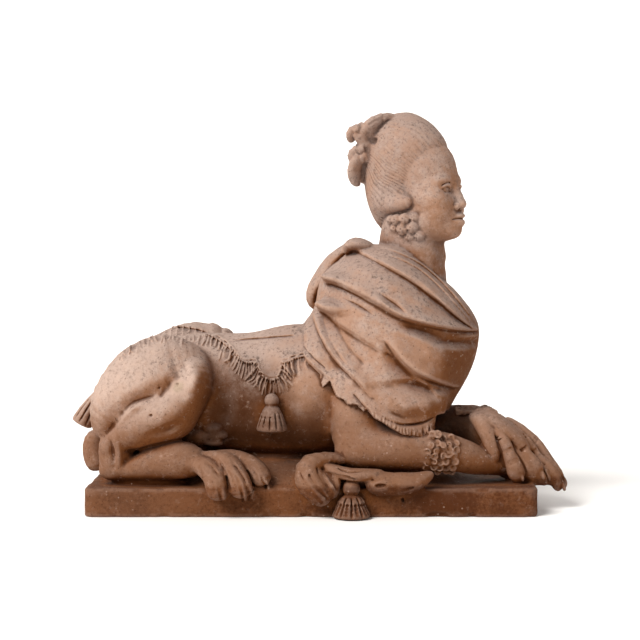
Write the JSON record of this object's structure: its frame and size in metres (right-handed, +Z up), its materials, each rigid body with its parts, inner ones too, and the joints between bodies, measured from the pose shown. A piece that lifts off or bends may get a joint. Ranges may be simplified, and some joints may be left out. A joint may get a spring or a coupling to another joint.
{
  "type": "sphinx statue",
  "caption": "Reclining sphinx with a woman's head, draped bust, lion body, fringed saddlecloth and lace cuffs, in fired clay on an oblong plinth, for a garden or hall.",
  "frame": {"origin": "centre of the plinth's flat underside", "axes": "+X along the plinth towards the sphinx's breast and paws, +Y away from the side with the cloth knot and tassel, +Z up"},
  "size_m": [1.1197, 0.44, 0.888],
  "materials": {
    "terracotta": "unglazed and weathered, with grey and brown dirt"
  },
  "bodies": {
    "root": {"sphinx": "terracotta"}
  },
  "joints": []
}
